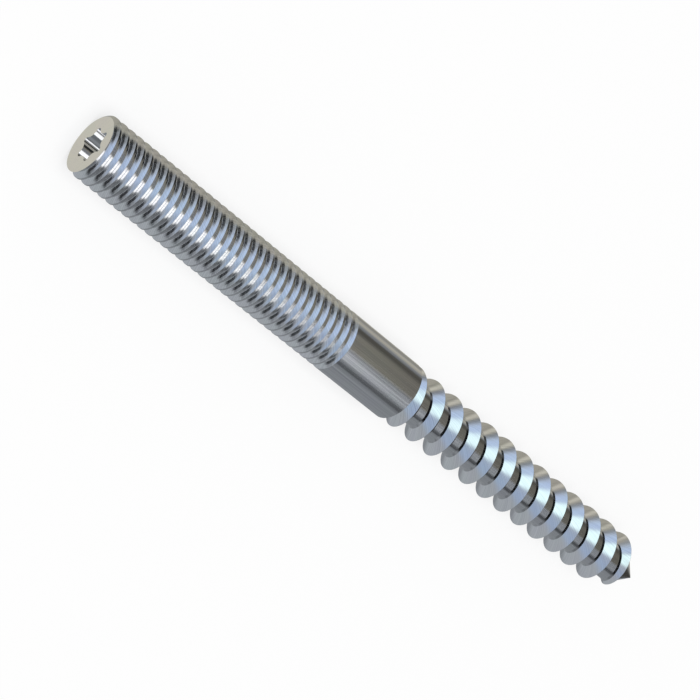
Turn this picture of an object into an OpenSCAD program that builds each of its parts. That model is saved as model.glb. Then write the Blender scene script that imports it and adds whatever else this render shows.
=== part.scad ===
// Hanger bolt: a machine thread with a six-lobe drive socket in its end, a plain shank,
// and a coarse wood thread that ends in a point.
//
// It is one piece of steel, cold-formed, pointed and thread-rolled, then zinc plated.
// The bolt lies along X. The origin is the centre of the drive face, and the point is at +X.
// Angles round the bolt run from +Y towards +Z, so both threads are right-handed.

/* [Overall] */
// Length from the drive face to the tip of the point
bolt_l = 100; // [94:1:140]
// Diameter of the plain shank, which is the bolt's nominal size
bolt_d = 8; // [7.96:0.02:9]

/* [Machine thread] */
// Length from the drive face to where the last groove has run out
machine_l = 41; // [20:0.25:44]
// Distance between neighbouring crests
machine_pitch = 1.25; // [0.9:0.05:1.5]
// How much smaller the thread's outer diameter is than the shank's
machine_allowance = 0.03; // [0.02:0.01:0.2]
// Angle at which the crest meets the drive face
machine_start = -104; // [-180:1:180]
// Turns over which the last groove runs out
machine_runout = 0.5; // [0.25:0.05:1]

/* [Wood thread] */
// Length from the end of the shank to the tip of the point
wood_l = 47.85; // [30:0.05:52]
// Diameter over the crests
wood_d = 7.92; // [6.5:0.01:7.94]
// Diameter of the core between the ridges
wood_core_d = 5; // [4.6:0.1:6]
// Distance between neighbouring ridges
wood_pitch = 3.5; // [3:0.1:4]
// Angle between the two flanks of a ridge
wood_flank_angle = 60; // [40:1:64]
// Angle at which the ridge would reach the tip if it ran on
wood_end = 180; // [-180:1:180]
// Turns over which the ridge falls away towards the point
wood_fade = 0.67; // [0.4:0.01:1]
// Bare length of the point beyond the end of the ridge
wood_bare_l = 2.9; // [2:0.1:3.5]

/* [Shoulder and point] */
// Slope of the shoulder between shank and core, where 0 is square
shoulder_angle = 30; // [10:1:45]
// Whole angle of the point
point_angle = 69; // [60:1:76]

/* [Six-lobe socket] */
// Diameter over the lobes
socket_d = 4.5; // [4:0.05:5]
// Diameter between opposite flutes
socket_waist_d = 3.25; // [3:0.05:3.6]
// Radius of a lobe's tip
socket_lobe_r = 0.37; // [0.3:0.01:0.42]
// Depth of the straight walls
socket_depth = 3.2; // [2:0.1:5]
// Width of the flat ledge between the flutes and the cone below them
socket_ledge = 0.15; // [0.1:0.05:0.4]
// Whole angle of that shallow cone, left by the punch
socket_bottom_angle = 140; // [120:1:170]
// Angle of the first lobe
socket_turn = 90; // [0:1:180]

/* [Facets] */
// Facets in one turn of a thread
turn_facets = 24; // [18:2:28]

/* [Hidden] */

plated_steel = "#b9bdc4";
// Smallest distance between two corners of one section
knot_gap = 0.05;
// How far a solid reaches into its neighbour, or a cut reaches past a face
overlap = 0.4;
// Turns of thread that lie before the drive face and are cut off there
spare_turns = 2;
round_fn = 96;
// Chords in half of a lobe's or a flute's arc
arc_steps = 6;

// The basic metric profile: 60 degree flanks, a root flat of 1/4 pitch, a crest flat of 1/8
machine_half_angle = 30;
machine_root_w = machine_pitch / 4;
machine_crest_w = machine_pitch / 8;
machine_depth = (machine_pitch - machine_root_w - machine_crest_w) / 2 / tan(machine_half_angle);
machine_r = (bolt_d - machine_allowance) / 2;

wood_r = wood_d / 2;
wood_core_r = wood_core_d / 2;
shank_start = machine_l + machine_root_w;
shank_end = bolt_l - wood_l;
// The shoulder runs on into the core, so that their surfaces cross
shoulder_end_r = wood_core_r - overlap;
shoulder_w = (bolt_d / 2 - shoulder_end_r) * tan(shoulder_angle);
ridge_end = bolt_l - wood_bare_l;
point_slope = tan(point_angle / 2);
point_start = bolt_l - wood_core_r / point_slope;

function clamp(v, low, high) = max(low, min(high, v));
// Point of the bolt: x along it, r from its axis, at an angle round it
function on_bolt(x, r, angle) = [x, r * cos(angle), r * sin(angle)];
function turned(p, a) = [p.x * cos(a) - p.y * sin(a), p.x * sin(a) + p.y * cos(a)];

// ---- Stations ----
// A thread is a row of stations along its helix, turn_facets of them in a turn. The first ones
// are placed so that a flat facet, and not an edge, faces straight down.
function station_angle(k) = -90 + (k + 0.5) * 360 / turn_facets;
// Distance that a helix has advanced at station k, from where it crosses the angle start
function advance(k, pitch, start) = pitch * (station_angle(k) - start) / 360;
// First station at which that distance has reached x
function station_at(x, pitch, start) = ceil((x - advance(0, pitch, start)) / pitch * turn_facets);

// A rod whose surface is one section carried along a helix. Station k lies beside station
// k + turn_facets, one turn on. Each end closes on a point of the axis.
module helical_rod(sections, start_x, end_x) {
    top = len(sections[0]) - 1;
    last = len(sections) - 1;
    start_point = len(sections) * (top + 1);
    end_point = start_point + 1;
    function at(k, j) = k * (top + 1) + j;
    function quad(a, b, c, d) = [[a, c, b], [a, d, c]];
    function fan(loop, point) = [for (i = [0:len(loop) - 1]) [loop[i], loop[(i + 1) % len(loop)], point]];
    start_loop = concat(
        [for (k = [0:turn_facets]) at(k, 0)],
        [for (j = [top:-1:1]) at(0, j)]
    );
    end_loop = concat(
        [for (k = [last:-1:last - turn_facets]) at(k, top)],
        [for (j = [0:top - 1]) at(last, j)]
    );
    polyhedron(
        points = concat(
            [for (section = sections) each section],
            [[start_x, 0, 0], [end_x, 0, 0]]
        ),
        faces = concat(
            // Strips of the section itself
            [for (k = [0:last - 1], j = [0:top - 1])
                each quad(at(k, j), at(k + 1, j), at(k + 1, j + 1), at(k, j + 1))],
            // The strip between one turn and the next
            [for (k = [0:last - turn_facets - 1])
                let (n = k + turn_facets)
                each quad(at(k, top), at(k + 1, top), at(n + 1, 0), at(n, 0))],
            fan(start_loop, start_point),
            fan(end_loop, end_point)
        )
    );
}

// ---- Machine thread ----
// Middle of the groove, half a pitch behind the crest
function groove_x(k) = advance(k, machine_pitch, machine_start) + machine_pitch / 2;
// The groove is at full depth, then runs out over its last turns
function groove_depth(x) =
    machine_depth * clamp((machine_l - x) / (machine_runout * machine_pitch), 0, 1);
// Left edge, the two corners of the root, right edge
function groove_section(k) =
    let (
        a = station_angle(k),
        x = groove_x(k),
        depth = groove_depth(x),
        corner = machine_root_w / 2,
        edge = corner + depth * tan(machine_half_angle)
    ) [
        on_bolt(x - edge, machine_r, a),
        on_bolt(x - corner, machine_r - depth, a),
        on_bolt(x + corner, machine_r - depth, a),
        on_bolt(x + edge, machine_r, a)
    ];

module machine_thread() {
    first = station_at(-spare_turns * machine_pitch, machine_pitch, machine_start);
    last = station_at(shank_start + machine_pitch, machine_pitch, machine_start);
    helical_rod([for (k = [first:last]) groove_section(k)], groove_x(first), groove_x(last));
}

// ---- Wood thread ----
// Crest of the ridge
function ridge_x(k) = bolt_l + advance(k, wood_pitch, wood_end);
function core_r(x) = min(wood_core_r, (bolt_l - x) * point_slope);
function ridge_h(x) =
    (wood_r - wood_core_r) * clamp((ridge_end - x) / (wood_fade * wood_pitch), 0, 1);
function ridge_half_w(x) = knot_gap + ridge_h(x) * tan(wood_flank_angle / 2);
// The band beside the ridge has a corner of its own, at the base of the point if it reaches there
function band_x(x) =
    let (
        next = x + wood_pitch,
        low = x + ridge_half_w(x) + knot_gap,
        high = next > ridge_end ? bolt_l : next - ridge_half_w(next) - knot_gap
    ) clamp(point_start, low, high);
// Foot of the left flank, crest, foot of the right flank, corner of the band
function ridge_section(k) =
    let (
        a = station_angle(k),
        x = ridge_x(k),
        half_w = ridge_half_w(x),
        band = band_x(x)
    ) [
        on_bolt(x - half_w, core_r(x - half_w), a),
        on_bolt(x, core_r(x) + ridge_h(x), a),
        on_bolt(x + half_w, core_r(x + half_w), a),
        on_bolt(band, core_r(band), a)
    ];

module wood_thread() {
    first = station_at(shank_end - overlap - wood_pitch - bolt_l, wood_pitch, wood_end);
    last = station_at(ridge_end - bolt_l, wood_pitch, wood_end);
    helical_rod([for (k = [first:last]) ridge_section(k)], ridge_x(first), bolt_l);
}

// ---- Shank and socket ----
// Stands a shape up along the bolt, with its own +X at +Y
module along_x(x) {
    translate([x, 0, 0]) rotate([0, 90, 0]) rotate(90) children();
}

// Plain cylinder, and the shoulder that falls from it to the wood thread's core
module shank() {
    along_x(shank_start) cylinder(h = shank_end - shank_start, d = bolt_d, $fn = round_fn);
    along_x(shank_end) cylinder(h = shoulder_w, r1 = bolt_d / 2, r2 = shoulder_end_r, $fn = round_fn);
}

// Six round lobes, each joined to the next by a flute whose arc is tangent to both
module socket_outline() {
    between = 30;
    lobe_x = socket_d / 2 - socket_lobe_r;
    waist_r = socket_waist_d / 2;
    flute_r = (lobe_x ^ 2 + waist_r ^ 2 - socket_lobe_r ^ 2 - 2 * lobe_x * waist_r * cos(between))
        / (2 * (socket_lobe_r + lobe_x * cos(between) - waist_r));
    flute = turned([waist_r + flute_r, 0], between);
    // Direction from the lobe's centre to the flute's centre, along which their arcs meet
    meet = atan2(flute.y, flute.x - lobe_x);
    lobe_arc = [for (i = [-arc_steps:arc_steps])
        [lobe_x, 0] + turned([socket_lobe_r, 0], meet * i / arc_steps)];
    flute_arc = [for (i = [1 - arc_steps:arc_steps - 1])
        flute - turned([flute_r, 0], between - (meet - between) * i / arc_steps)];
    polygon([for (side = [0:60:300], p = concat(lobe_arc, flute_arc)) turned(p, side)]);
}

// Straight walls with a shallow cone below them
module socket() {
    cone_r = socket_waist_d / 2 - socket_ledge;
    cone_h = cone_r / tan(socket_bottom_angle / 2);
    along_x(-overlap) rotate(socket_turn) linear_extrude(height = overlap + socket_depth) socket_outline();
    along_x(socket_depth - knot_gap) cylinder(h = cone_h + knot_gap, r1 = cone_r, r2 = 0, $fn = round_fn);
}

module hanger_bolt() {
    spare_l = (spare_turns + 1) * machine_pitch;
    color(plated_steel)
    difference() {
        union() {
            machine_thread();
            shank();
            wood_thread();
        }
        // The end is cut square through the thread
        along_x(-spare_l) cylinder(h = spare_l, r = bolt_d, $fn = round_fn);
        socket();
    }
}

hanger_bolt();
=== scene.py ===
import bmesh
import bpy
import numpy as np
from mathutils import Matrix, Vector


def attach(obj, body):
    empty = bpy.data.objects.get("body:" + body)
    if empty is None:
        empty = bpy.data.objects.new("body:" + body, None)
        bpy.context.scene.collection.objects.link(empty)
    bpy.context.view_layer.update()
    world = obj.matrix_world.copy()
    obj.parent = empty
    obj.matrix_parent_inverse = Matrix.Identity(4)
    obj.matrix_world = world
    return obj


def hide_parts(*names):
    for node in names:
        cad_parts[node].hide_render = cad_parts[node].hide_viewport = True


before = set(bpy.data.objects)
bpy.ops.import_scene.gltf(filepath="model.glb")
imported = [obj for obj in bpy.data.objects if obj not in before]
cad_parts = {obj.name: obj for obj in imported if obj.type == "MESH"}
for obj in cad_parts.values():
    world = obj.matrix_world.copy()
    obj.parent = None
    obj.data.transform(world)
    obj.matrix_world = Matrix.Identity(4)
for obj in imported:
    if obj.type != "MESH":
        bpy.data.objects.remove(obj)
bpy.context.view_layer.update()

# ---- The bolt ----
# One bar of low-carbon steel. The socket is punched into its end, the blank is pointed, both
# threads are rolled onto it, and the whole bolt is then barrel-plated with bright zinc.

# It lies along X, and its surface is one grid: columns round the axis, and rows that run from the
# bottom of the socket out over the drive face and along the bolt to the tip.
columns = 144
turn = np.linspace(0, 1, columns + 1)  # the first column again at the end
angle = 2 * np.pi * turn  # from +Y towards +Z
nearly_0 = 1e-9  # stands in for a length of nothing, which can't divide


def bevelled(x, r, reach):
    """Lines of corners (x, r), one line for each column, with each corner but the first and last
    replaced by two points, one on each of its sides, and the first and last left out. The two points
    lie at the corner's two reaches from it, or nearer on a short side, so that the bevels at its two
    ends never meet."""
    corner = np.stack([x, r], -1)
    side = np.diff(corner, axis=1)
    length = np.linalg.norm(side, axis=-1, keepdims=True)
    unit = side / np.maximum(length, nearly_0)
    furthest = 0.45 * length
    reach = reach[1:-1, :, None]
    before = corner[:, 1:-1] - unit[:, :-1] * np.minimum(reach[:, 0], furthest[:, :-1])
    after = corner[:, 1:-1] + unit[:, 1:] * np.minimum(reach[:, 1], furthest[:, 1:])
    return np.stack([before, after], 2).reshape(len(x), -1, 2)


def radius_at(x, line):
    """Radius of each column's line at every x, straight between the two points beside it."""
    left = (line[:, :, None, 0] < x).sum(1) - 1
    left = np.clip(left, 0, line.shape[1] - 2)[..., None]
    (x0, r0), (x1, r1) = (
        np.moveaxis(np.take_along_axis(line, left + step, 1), -1, 0) for step in (0, 1)
    )
    return r0 + (x - x0) / np.maximum(x1 - x0, nearly_0) * (r1 - r0)


def between(line, start, end):
    """The part of each line from start to end. Points outside it are drawn to its nearer end."""
    at_start, at_end = radius_at(np.array([start, end]), line).T[..., None]
    x, r = line[..., 0], line[..., 1]
    r = np.where(x < start, at_start, np.where(x > end, at_end, r))
    return np.stack([np.clip(x, start, end), r], -1)


# The machine thread's groove has the depth of the basic metric profile, which has 60 degree flanks,
# a root flat of a quarter of the pitch and a crest flat of an eighth. Here the rolled flanks stand
# steeper over their lower part, which widens the crest. The groove runs out over the last half turn.
bolt_r = 0.00399
machine_l = 0.041
machine_pitch = 0.00125
machine_phase = 104 / 360  # turns from the crest at the drive face back to +Y
machine_root = machine_pitch / 4
machine_crest = machine_pitch / 8
machine_slope = np.tan(np.radians(30))
machine_depth = (machine_pitch - machine_root - machine_crest) / 2 / machine_slope
machine_runout = 0.5 * machine_pitch
machine_bevel = 0.00002
upper_share = 0.45  # of the depth, from the crest down to the flank's waist
lower_slope = np.tan(np.radians(22))
grooves = np.arange(-2, 35)  # from before the drive face to past the run-out

groove_x = machine_pitch * (turn[:, None] + machine_phase + grooves + 0.5)
depth = machine_depth * np.clip((machine_l - groove_x) / machine_runout, 0, 1)
root = np.full_like(depth, machine_root / 2)  # half the width at the bottom, then at each corner
waist = root + (1 - upper_share) * depth * lower_slope
edge = waist + upper_share * depth * machine_slope
groove_side = np.stack([-edge, -waist, -root, root, waist, edge], -1)
groove_down = np.stack([0 * depth, upper_share * depth, depth], -1)
groove_down = np.concatenate([groove_down, groove_down[..., ::-1]], -1)
machine_line = bevelled(
    (groove_x[..., None] + groove_side).reshape(columns + 1, -1),
    (bolt_r - groove_down).reshape(columns + 1, -1),
    np.full((groove_side.shape[-1] * len(grooves), 2), machine_bevel),
)

# The wood thread is a sharp ridge on a core, which falls away towards a plain cone at the tip
bolt_l = 0.100
wood_pitch = 0.0035
wood_r = 0.00396
core_r = 0.0025
flank_slope = np.tan(np.radians(30))
ridge_foot = 0.00005  # half the width of a ridge that has no height left
ridge_end = 0.0971
ridge_fade = 0.67 * wood_pitch
# The foot meets the core over a narrow slope, with one end on the core and one on the flank
foot_on_core = 0.00024
foot_on_flank = 0.00014
crest_bevel = 0.00002
# The core has a corner of its own between two ridges, at the base of the point if it reaches there
band_gap = 0.0006  # at least, from that corner to the next ridge
point_slope = np.tan(np.radians(34.5))
point_start = bolt_l - core_r / point_slope
ridges = np.arange(-16, 4)  # from before the shoulder to past the tip


def ridge_h(x):
    """Height of the ridge, in full up to its fade and then falling evenly to nothing."""
    return (wood_r - core_r) * np.clip((ridge_end - x) / ridge_fade, 0, 1)


def core_at(x):
    """Radius of the core, which is the smaller of the straight core and the point's cone."""
    return np.minimum(core_r, (bolt_l - x) * point_slope)


ridge_x = bolt_l + wood_pitch * (turn[:, None] - 0.5 + ridges)
half_w = ridge_foot + ridge_h(ridge_x) * flank_slope
next_x = ridge_x + wood_pitch
next_w = ridge_foot + ridge_h(next_x) * flank_slope
band_x = np.clip(point_start, ridge_x + half_w + ridge_foot, next_x - next_w - band_gap)
wood_x = np.stack([ridge_x - half_w, ridge_x, ridge_x + half_w, band_x], -1)
wood_rise = np.stack([0 * ridge_x, ridge_h(ridge_x), 0 * ridge_x, 0 * ridge_x], -1)
wood_reach = [
    [foot_on_core, foot_on_flank],
    [crest_bevel, crest_bevel],
    [foot_on_flank, foot_on_core],
    [0, 0],
]
wood_line = bevelled(
    wood_x.reshape(columns + 1, -1),
    (core_at(wood_x) + wood_rise).reshape(columns + 1, -1),
    np.tile(wood_reach, (len(ridges), 1)),
)

# The plain shank, and the shoulder that falls from it to the core
shank_start = machine_l + machine_root
shank_end = 0.05215
shank_hem = 0.00003  # from the shank's last ring to the shoulder
shoulder_slope = np.tan(np.radians(30))
shoulder_rings = 16
shoulder_end = shank_end + (bolt_r - core_r) * shoulder_slope
shoulder_x = np.linspace(shank_end, shoulder_end, shoulder_rings)
shoulder_r = np.maximum(
    bolt_r - (shoulder_x - shank_end) / shoulder_slope,
    radius_at(shoulder_x, wood_line),
)


def ring(x, r):
    """A ring round the axis at x, the same radius r in every column."""
    return np.broadcast_to([x, r], (columns + 1, 1, 2))


tip_gap = 0.0002  # from the wood thread's last ring to the tip, which is one point
outside = np.concatenate(
    [
        between(machine_line, 0, shank_start),
        ring(shank_start, bolt_r),
        ring(shank_end - shank_hem, bolt_r),
        np.stack([np.broadcast_to(shoulder_x, shoulder_r.shape), shoulder_r], -1),
        between(wood_line, shoulder_end, bolt_l - tip_gap),
        ring(bolt_l, 0),
    ],
    1,
)


def on_bolt(x, r):
    """Points of the grid from x along the axis and the radius r in each column."""
    return np.stack([x, r * np.cos(angle)[:, None], r * np.sin(angle)[:, None]], -1)


# The six-lobe socket. Six round lobes alternate with flutes, whose arcs touch the lobes' arcs. Below
# the straight walls are a flat ledge and the shallow cone that the punch leaves.
socket_d = 0.0045
socket_waist_d = 0.00325
lobe_r = 0.00037
lobe_x = socket_d / 2 - lobe_r
waist_r = socket_waist_d / 2
half_sixth = np.pi / 6  # from the middle of a lobe to the middle of a flute
socket_depth = 0.0032
socket_rings = 9
socket_ledge = 0.00015
socket_cone = np.radians(70)  # half the cone's angle
flute_r = (
    lobe_x**2 + waist_r**2 - lobe_r**2 - 2 * lobe_x * waist_r * np.cos(half_sixth)
) / (2 * (lobe_r + lobe_x * np.cos(half_sixth) - waist_r))


def six_lobes():
    """Outline of the socket, (y, z) for each column. From the middle of a flute, half of a sixth
    follows the flute's arc and half follows the lobe's, mirrored to the other side."""
    meet = np.arctan2(
        (waist_r + flute_r) * np.sin(half_sixth),
        (waist_r + flute_r) * np.cos(half_sixth) - lobe_x,
    )
    sixth = np.round(turn * 6)
    part = 2 * (turn * 6 - sixth)  # 0 in the middle of a flute, 1 and -1 at the lobes beside it
    flute_a = (meet - half_sixth) * np.clip(2 * part, -1, 1)
    lobe_a = half_sixth - meet * 2 * (1 - np.abs(part))
    on_lobe = np.abs(part) > 0.5
    y = np.where(
        on_lobe,
        lobe_x * np.cos(half_sixth) + lobe_r * np.cos(lobe_a),
        waist_r + flute_r - flute_r * np.cos(flute_a),
    )
    z = np.where(
        on_lobe,
        np.sign(part) * (lobe_x * np.sin(half_sixth) + lobe_r * np.sin(lobe_a)),
        flute_r * np.sin(flute_a),
    )
    a = sixth * np.pi / 3
    return np.stack([y * np.cos(a) - z * np.sin(a), y * np.sin(a) + z * np.cos(a)], -1)


cone_r = waist_r - socket_ledge
apex_x = socket_depth + cone_r / np.tan(socket_cone)
cone = np.concatenate([ring(apex_x, 0), ring(socket_depth, cone_r)], 1)
wall = np.empty((columns + 1, socket_rings, 3))
wall[..., 0] = np.linspace(socket_depth, 0, socket_rings)
wall[..., 1:] = six_lobes()[:, None]
grid = np.concatenate(
    [on_bolt(cone[..., 0], cone[..., 1]), wall, on_bolt(outside[..., 0], outside[..., 1])], 1
)


def cells(shape):
    """The four corners of each cell of a grid of that shape, whose points are counted row by row
    within a column."""
    corner = np.arange(shape[0] * shape[1]).reshape(shape)
    cell = np.stack([corner[:-1, :-1], corner[1:, :-1], corner[1:, 1:], corner[:-1, 1:]], -1)
    return cell.reshape(-1, 4).tolist()


def surface(name, grid):
    """A mesh with one face for each cell of the grid, its seam and poles welded."""
    weld = 2e-7
    no_width = 1e-7
    sharp = np.radians(20)
    mesh = bpy.data.meshes.new(name)
    mesh.from_pydata(grid.reshape(-1, 3), [], cells(grid.shape[:2]))
    bm = bmesh.new()
    bm.from_mesh(mesh)
    bmesh.ops.remove_doubles(bm, verts=bm.verts, dist=weld)
    bmesh.ops.dissolve_degenerate(bm, edges=bm.edges, dist=no_width)
    bm.to_mesh(mesh)
    bm.free()
    mesh.shade_smooth()
    mesh.set_sharp_from_angle(angle=sharp)
    obj = bpy.data.objects.new(name, mesh)
    bpy.context.scene.collection.objects.link(obj)
    return obj


bolt = surface("plated_bolt", grid)

# Bright zinc on rolled steel. The drawn wire and the rolling dies leave fine streaks that lie along
# the bolt and lean over as they climb the flanks, and barrel plating leaves faint clouds of colour.
zinc = bpy.data.materials.new("bright_zinc")
zinc.use_nodes = True
nodes, links = zinc.node_tree.nodes, zinc.node_tree.links
shader = nodes["Principled BSDF"]
shader.inputs["Metallic"].default_value = 1

# Place on the bolt as x and the direction out from its axis, so that a streak has one angle
place = nodes.new("ShaderNodeTexCoord")
round_axis = nodes.new("ShaderNodeVectorMath")
round_axis.operation = "MULTIPLY"
round_axis.inputs[1].default_value = (0, 1, 1)
links.new(place.outputs["Object"], round_axis.inputs[0])
streak_lean = -220  # radians round the axis for each metre out from it
lean = nodes.new("ShaderNodeVectorMath")
lean.operation = "LENGTH"
links.new(round_axis.outputs["Vector"], lean.inputs[0])
lean_turn = nodes.new("ShaderNodeMath")
lean_turn.operation = "MULTIPLY"
lean_turn.inputs[1].default_value = streak_lean
links.new(lean.outputs["Value"], lean_turn.inputs[0])
leaning = nodes.new("ShaderNodeVectorRotate")
leaning.rotation_type = "X_AXIS"
links.new(round_axis.outputs["Vector"], leaning.inputs["Vector"])
links.new(lean_turn.outputs["Value"], leaning.inputs["Angle"])
outward = nodes.new("ShaderNodeVectorMath")
outward.operation = "NORMALIZE"
links.new(leaning.outputs["Vector"], outward.inputs[0])
along_axis = nodes.new("ShaderNodeVectorMath")
along_axis.operation = "MULTIPLY"
along_axis.inputs[1].default_value = (1, 0, 0)
links.new(place.outputs["Object"], along_axis.inputs[0])


def streaks(name, per_turn, per_metre, detail):
    """Noise that changes per_turn times in a turn round the axis and per_metre times in a metre
    along it: the outward direction scaled by one, plus x scaled by the other."""
    spread = nodes.new("ShaderNodeVectorMath")
    spread.operation = "MULTIPLY_ADD"
    spread.inputs[1].default_value = (per_metre, 0, 0)
    grown = nodes.new("ShaderNodeVectorMath")
    grown.operation = "SCALE"
    grown.inputs["Scale"].default_value = per_turn / (2 * np.pi)
    links.new(outward.outputs["Vector"], grown.inputs[0])
    links.new(along_axis.outputs["Vector"], spread.inputs[0])
    links.new(grown.outputs["Vector"], spread.inputs[2])
    noise = nodes.new("ShaderNodeTexNoise")
    noise.name = name
    noise.inputs["Scale"].default_value = 1
    noise.inputs["Detail"].default_value = detail
    links.new(spread.outputs["Vector"], noise.inputs["Vector"])
    return noise


def tones(factor, *stops):
    """Colour ramp from the factor through the stops, each a position and a linear colour."""
    ramp = nodes.new("ShaderNodeValToRGB")
    for extra in stops[2:]:
        ramp.color_ramp.elements.new(extra[0])
    for element, (position, colour) in zip(ramp.color_ramp.elements, stops):
        element.position = position
        element.color = (*colour, 1)
    links.new(factor, ramp.inputs["Fac"])
    return ramp.outputs["Color"]


fine = streaks("fine_streaks", per_turn=190, per_metre=60, detail=2)
broad = streaks("broad_streaks", per_turn=90, per_metre=35, detail=2)
clouds = nodes.new("ShaderNodeTexNoise")
clouds.inputs["Scale"].default_value = 420
clouds.inputs["Detail"].default_value = 3
links.new(place.outputs["Object"], clouds.inputs["Vector"])

streak_tone = tones(
    fine.outputs["Fac"],
    (0.3, (0.86, 0.86, 0.88)),
    (0.5, (0.98, 0.98, 0.98)),
    (0.72, (1.1, 1.1, 1.1)),
)
cloud_tone = tones(
    clouds.outputs["Fac"],
    (0.35, (0.715, 0.72, 0.755)),
    (0.5, (0.72, 0.73, 0.75)),
    (0.65, (0.71, 0.735, 0.745)),
)
colour = nodes.new("ShaderNodeMix")
colour.data_type = "RGBA"
colour.blend_type = "MULTIPLY"
# The cut drive face was never drawn or rolled, so the streaks fade in just beyond it
bare_x = 0.00005
streaked_x = 0.0003
along = nodes.new("ShaderNodeSeparateXYZ")
links.new(place.outputs["Object"], along.inputs["Vector"])
rolled = nodes.new("ShaderNodeMapRange")
rolled.inputs["From Min"].default_value = bare_x
rolled.inputs["From Max"].default_value = streaked_x
links.new(along.outputs["X"], rolled.inputs["Value"])
links.new(rolled.outputs["Result"], colour.inputs["Factor"])
links.new(cloud_tone, colour.inputs["A"])
links.new(streak_tone, colour.inputs["B"])
links.new(colour.outputs["Result"], shader.inputs["Base Color"])

# The broad streaks also make the zinc a little duller and brighter in turn
gloss = nodes.new("ShaderNodeMapRange")
gloss.inputs["From Min"].default_value = 0.3
gloss.inputs["From Max"].default_value = 0.7
gloss.inputs["To Min"].default_value = 0.1
gloss.inputs["To Max"].default_value = 0.2
links.new(broad.outputs["Fac"], gloss.inputs["Value"])
links.new(gloss.outputs["Result"], shader.inputs["Roughness"])

wave_h = 0.0000018
scratch_h = 0.0000007
wave = nodes.new("ShaderNodeBump")
links.new(rolled.outputs["Result"], wave.inputs["Strength"])
wave.inputs["Distance"].default_value = wave_h
links.new(broad.outputs["Fac"], wave.inputs["Height"])
scratch = nodes.new("ShaderNodeBump")
links.new(rolled.outputs["Result"], scratch.inputs["Strength"])
scratch.inputs["Distance"].default_value = scratch_h
links.new(fine.outputs["Fac"], scratch.inputs["Height"])
links.new(wave.outputs["Normal"], scratch.inputs["Normal"])
links.new(scratch.outputs["Normal"], shader.inputs["Normal"])

bolt.data.materials.append(zinc)
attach(bolt, "root")
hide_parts("hanger_bolt")
# The flanks mirror the tent and not each other, which keeps the threads light and legible
bolt.visible_glossy = False

# ---- Table ----
# A plain white board of matt laminate, which the bolt lies on. It runs out past every view.
board = 4.0  # half of its side
board_mesh = bpy.data.meshes.new("table")
board_mesh.from_pydata(
    [(x, y, -bolt_r) for x, y in ((-board, -board), (board, -board), (board, board), (-board, board))],
    [],
    [(0, 1, 2, 3)],
)
floor = bpy.data.objects.new("table", board_mesh)
bpy.context.scene.collection.objects.link(floor)
laminate = bpy.data.materials.new("white_board")
laminate.use_nodes = True
nodes, links = laminate.node_tree.nodes, laminate.node_tree.links
matt = nodes["Principled BSDF"]
matt.inputs["Base Color"].default_value = (0.98, 0.98, 0.98, 1)
matt.inputs["Roughness"].default_value = 0.9
matt.inputs["Specular IOR Level"].default_value = 0
# This share of what the camera sees of the board is plain white, so that the shadow stays pale
paper_share = 0.7
paper = nodes.new("ShaderNodeEmission")
paper.inputs["Color"].default_value = (1, 1, 1, 1)
paper.inputs["Strength"].default_value = 1
seen = nodes.new("ShaderNodeLightPath")
share = nodes.new("ShaderNodeMath")
share.operation = "MULTIPLY"
share.inputs[1].default_value = paper_share
links.new(seen.outputs["Is Camera Ray"], share.inputs[0])
sheet = nodes.new("ShaderNodeMixShader")
links.new(share.outputs["Value"], sheet.inputs["Fac"])
links.new(matt.outputs["BSDF"], sheet.inputs[1])
links.new(paper.outputs["Emission"], sheet.inputs[2])
links.new(sheet.outputs["Shader"], nodes["Material Output"].inputs["Surface"])
board_mesh.materials.append(laminate)
# The metal mirrors the tent's own ground instead
floor.visible_glossy = False

# ---- Tent ----
# A closed tent of pale cloth round the table, with strips of card parallel to the bolt beyond its
# point and a window of soft blue light behind its drive face. Only the metal's reflections see it.
tent_r = 1.5
# Four tints of light and white, each used at a round level
sky = np.array((0.6, 0.75, 1))
daylight = np.array((0.8, 1, 1))
grey = np.array((0.9, 0.95, 1))
wood = np.array((1, 0.95, 0.8))
white = np.ones(3)
tent_cloth = 0.55 * grey
# Cards, in degrees: azimuth and elevation of the middle, half width, half height, soft edge. Then
# their light. A later card or strip lies over the ones before it.
cards = (
    (-100, -20, 60, 60, 30, 0.5 * grey),  # wall on the right
    (118, -45, 26, 32, 14, 0.45 * wood),  # wooden bench on the left, with its edges
    (128, -28, 7, 5, 7, 0.7 * wood),
    (130, -40, 8, 3, 6, 0.35 * wood),
    (138, -14, 6, 6, 8, 0.3 * grey),
    (160, 2, 20, 12, 18, sky),  # blue window, brightest in its middle
    (-160, 1, 22, 13, 22, 0.7 * sky),
    (180, -16, 10, 5, 8, 0.9 * sky),
    (174, 15, 15, 8, 11, 1.5 * daylight),
    (174, -5, 10, 5, 8, sky),
    (-146, -20, 5, 5, 7, 0.35 * grey),  # grey flags on both sides of the window
    (-141, -27, 4, 4, 8, 0.3 * grey),
    (148, -19, 5, 5, 7, 0.4 * grey),
    (-157, -27, 6, 6, 5, 0.02 * grey),  # black flags under its two corners
    (-150, -33, 6, 7, 6, 0.02 * grey),
    (161, -24, 7, 6, 6, 0.02 * grey),
    (152, -32, 6, 7, 6, 0.02 * grey),
    (180, -65, 9, 8, 6, 0.7 * wood),  # wooden card under the drive face
)
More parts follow.
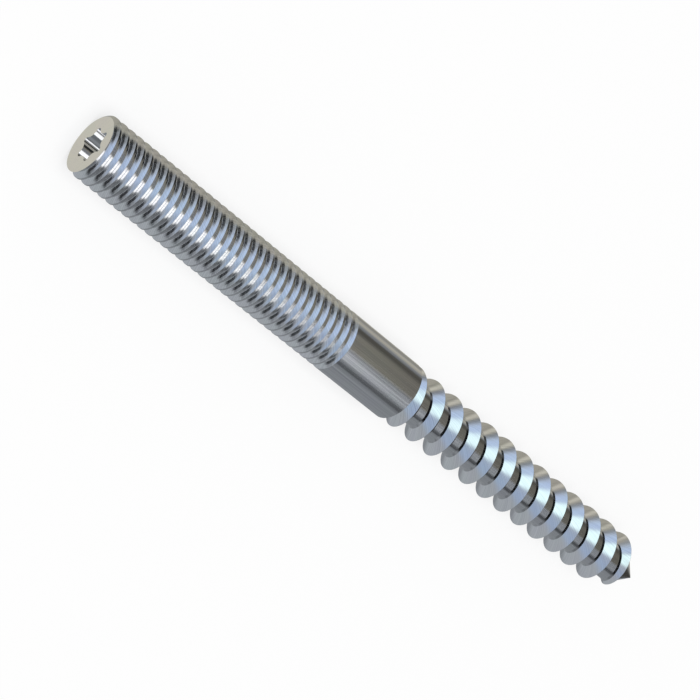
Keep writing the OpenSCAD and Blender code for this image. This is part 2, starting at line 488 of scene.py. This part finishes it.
# Strips, in degrees: middle and half width round the axis from straight up towards +Y, soft edge,
# start and end as angles from +X, soft ends. Then their light.
strips = (
    (0, 180, 20, -30, 85, 20, 0.3 * grey),  # far wall, with a dark doorway in its middle
    (0, 180, 20, -30, 26, 12, 0.05 * wood),
    (40, 34, 16, 30, 85, 20, 0.25 * wood),
    (82, 12, 16, 30, 85, 20, 0.1 * wood),
    (119, 11, 14, 30, 85, 20, 0.5 * wood),
    (143, 9, 12, 30, 85, 20, 0.3 * wood),
    (166, 10, 10, 30, 85, 20, 0.5 * wood),
    (-55, 8, 14, 30, 85, 16, 0.1 * grey),
    (-23, 10, 14, 30, 85, 10, 0.45 * grey),
    (40, 34, 16, 30, 54, 4, 0.15 * wood),  # its lower part lies in shade
    (82, 14, 16, 30, 54, 4, 0.1 * wood),
    (-50, 9, 14, 30, 54, 4, 0.1 * grey),
    (-20, 12, 14, 30, 54, 4, 0.3 * grey),
    (-72, 24, 18, 60, 85, 5, 0.2 * grey),  # ceiling, with a black panel behind the lamp
    (85, 22, 18, 60, 85, 5, 0.02 * grey),
    (30, 14, 14, 60, 85, 5, 0.3 * grey),
    (-22, 12, 10, 57.6, 85, 2, 1.1 * white),  # strip lamp, dimmer along its edge
    (-12, 22, 12, 59, 85, 3, 1.6 * white),
    (6, 64, 24, 69, 112, 4, 0.01 * grey),  # black band over the lamp's far end
)


def soft(distance, half, edge):
    """1 inside the half width and 0 outside, with a smooth step over the edge between them."""
    t = np.clip((half + edge / 2 - np.abs(distance)) / edge, 0, 1)
    return t * t * (3 - 2 * t)


def tent_light(direction):
    """Light that the tent gives from each direction: its cloth, then each card and strip laid over
    what is there by its own soft mask."""
    light = np.broadcast_to(tent_cloth, direction.shape)
    for azimuth, elevation, half_w, half_h, edge, colour in cards:
        azimuth, elevation = np.radians((azimuth, elevation))
        side = np.array((-np.sin(azimuth), np.cos(azimuth), 0))
        level = np.cos(elevation)
        front = np.array((level * np.cos(azimuth), level * np.sin(azimuth), np.sin(elevation)))
        across = np.degrees(np.arctan2(direction @ side, direction @ front))
        up = np.degrees(np.arcsin(np.clip(direction @ np.cross(front, side), -1, 1)))
        mask = (soft(across, half_w, edge) * soft(up, half_h, edge))[..., None]
        light = light + mask * (colour - light)
    x, y, z = np.moveaxis(direction, -1, 0)
    round_x, from_x = np.degrees((np.arctan2(y, z), np.arccos(np.clip(x, -1, 1))))
    for middle, half, edge, start, end, end_edge, colour in strips:
        away = (round_x - middle + 180) % 360 - 180
        mask = soft(from_x - (start + end) / 2, (end - start) / 2, end_edge)
        if half < 180:  # a wider strip runs all the way round
            mask = mask * soft(away, half, edge)
        light = light + mask[..., None] * (colour - light)
    return light


# The tent is a sphere with a point at every degree
azimuth = np.radians(np.arange(-180, 181))[:, None]
elevation = np.radians(np.arange(90, -91, -1))
sphere = np.stack(
    np.broadcast_arrays(
        np.cos(azimuth) * np.cos(elevation),
        np.sin(azimuth) * np.cos(elevation),
        np.sin(elevation),
    ),
    -1,
)
tent_mesh = bpy.data.meshes.new("tent")
tent_mesh.from_pydata(tent_r * sphere.reshape(-1, 3), [], cells(sphere.shape[:2]))
glow = tent_mesh.attributes.new("glow", "FLOAT_COLOR", "POINT")
glow.data.foreach_set("color", np.insert(tent_light(sphere), 3, 1, -1).astype(np.float32).ravel())
tent = bpy.data.objects.new("tent", tent_mesh)
bpy.context.scene.collection.objects.link(tent)
cloth = bpy.data.materials.new("tent_cloth")
cloth.use_nodes = True
nodes, links = cloth.node_tree.nodes, cloth.node_tree.links
nodes.clear()
lit = nodes.new("ShaderNodeEmission")
glow_colour = nodes.new("ShaderNodeAttribute")
glow_colour.attribute_name = "glow"
links.new(glow_colour.outputs["Color"], lit.inputs["Color"])
links.new(lit.outputs["Emission"], nodes.new("ShaderNodeOutputMaterial").inputs["Surface"])
# Reflected rays find the tent by themselves, so it is no lamp for the other surfaces
cloth.cycles.emission_sampling = "NONE"
tent_mesh.materials.append(cloth)
tent.visible_camera = False
tent.visible_diffuse = False
tent.visible_shadow = False
tent.visible_transmission = False
tent.visible_volume_scatter = False

# ---- Light and camera ----
# A wide soft box above the table and an even white room, which together give about 1 on the board.
# The camera looks down on the bolt from beyond its drive face.
room_level = 0.45
world = bpy.data.worlds.new("room")
world.use_nodes = True
bpy.context.scene.world = world
world.node_tree.nodes["Background"].inputs["Color"].default_value = (1, 1, 1, 1)
world.node_tree.nodes["Background"].inputs["Strength"].default_value = room_level

box_w = 0.7
box_h = 1.1
box_level = 0.62
box_data = bpy.data.lights.new("soft_box", "AREA")
box_data.shape = "SQUARE"
box_data.size = box_w
# The level on a white board straight below a small box is its power / (pi^2 * height^2)
box_data.energy = box_level * np.pi**2 * box_h**2
soft_box = bpy.data.objects.new("soft_box", box_data)
soft_box.location = (-0.05, 0, box_h)
soft_box.visible_glossy = False
bpy.context.scene.collection.objects.link(soft_box)

camera_data = bpy.data.cameras.new("camera")
camera_data.sensor_width = 36
camera_data.lens = 128.2
camera_data.clip_start = 0.01
camera = bpy.data.objects.new("camera", camera_data)
eye = Vector((-0.1185, 0.0001, 0.2504))
right = Vector((0.6541, 0.6272, 0.4227)).normalized()
back = Vector((-0.5426, -0.0003, 0.8400)).normalized()
up = back.cross(right).normalized()
right = up.cross(back)
camera.matrix_world = Matrix.Translation(eye) @ Matrix((right, up, back)).transposed().to_4x4()
bpy.context.scene.collection.objects.link(camera)
bpy.context.scene.camera = camera
bpy.context.scene.view_settings.view_transform = "Standard"
